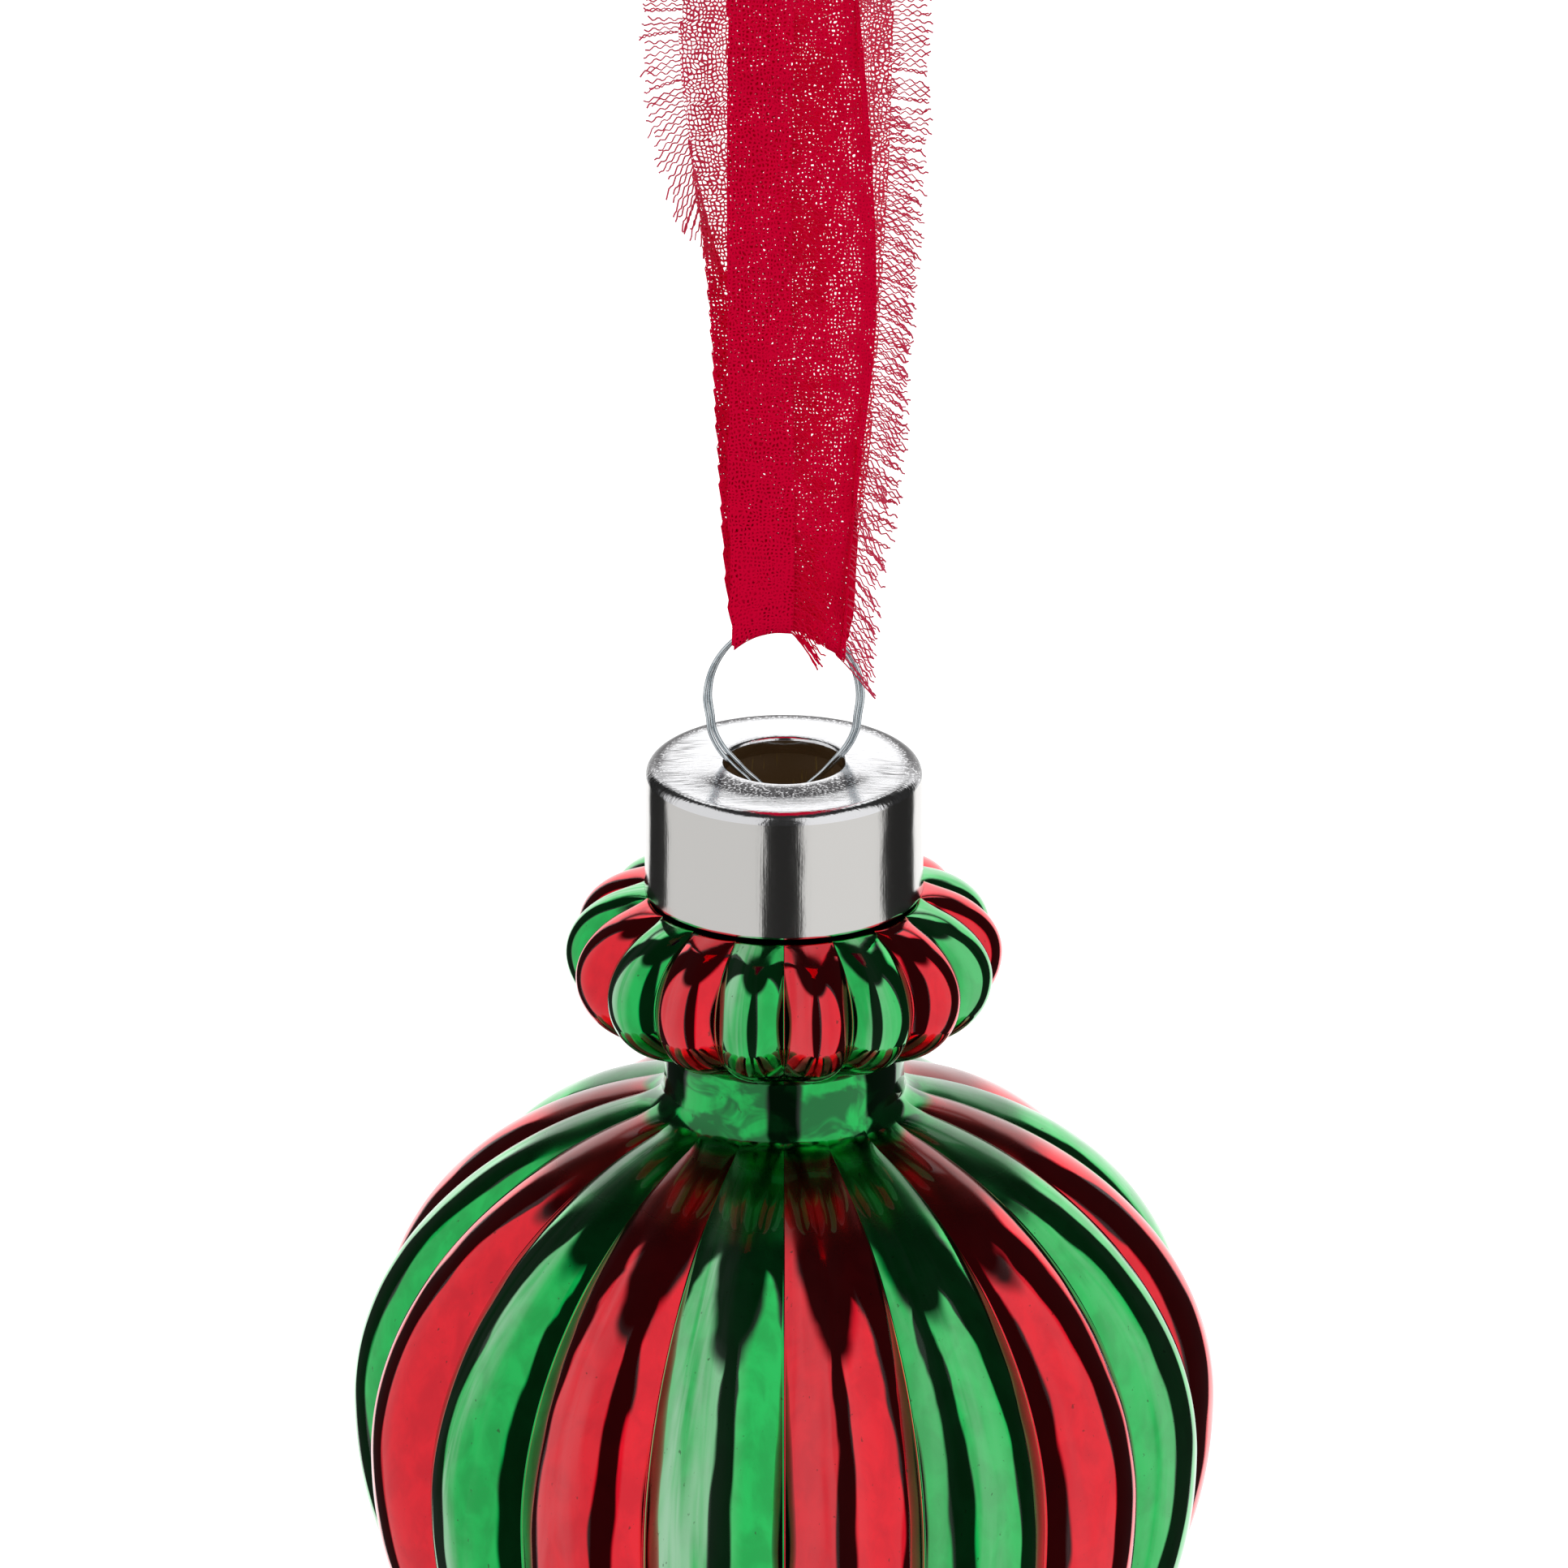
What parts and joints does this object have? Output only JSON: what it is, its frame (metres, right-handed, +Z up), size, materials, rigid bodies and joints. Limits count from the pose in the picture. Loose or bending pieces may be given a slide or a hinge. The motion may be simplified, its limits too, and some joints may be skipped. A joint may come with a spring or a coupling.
{
  "type": "glass finial ornament",
  "caption": "Fluted silvered glass finial bauble with a plated cap, a sprung wire hanging ring and a knotted loop of frayed gauze ribbon.",
  "frame": {"origin": "the hanging point: under the ribbon's knot, where a hook or branch bears inside the loop", "axes": "+Z up along the ribbon and the ornament's axis, +X across the ribbon's width, -Y towards the viewer of the picture"},
  "size_m": [0.0794, 0.0788, 0.2853],
  "materials": {
    "silvered_glass": "silvered inside, lacquered in red and green stripes",
    "plated_cap": "bright nickel plate, worn",
    "spring_wire": "drawn spring steel",
    "red_gauze": "open-weave crinkled gauze with frayed edges"
  },
  "bodies": {
    "ribbon": {"ribbon": "red_gauze"},
    "hanger": {"wire_hanger": "spring_wire"},
    "cap": {"cap": "plated_cap"},
    "glass": {"glass_body": "silvered_glass"}
  },
  "joints": [
    {"name": "hanger_swing", "type": "hinge", "parent": "ribbon", "child": "hanger", "pos_m": [0, 0, -0.10647], "axis": [0, 1, 0], "range_deg": [-30, 30]},
    {"name": "ornament_spin", "type": "hinge", "parent": "hanger", "child": "cap", "pos_m": [0, 0, -0.11297], "axis": [0, 0, 1], "continuous": true},
    {"name": "glass_pull", "type": "slide", "parent": "cap", "child": "glass", "axis": [0, 0, -1], "range_m": [0, 0.015]}
  ]
}
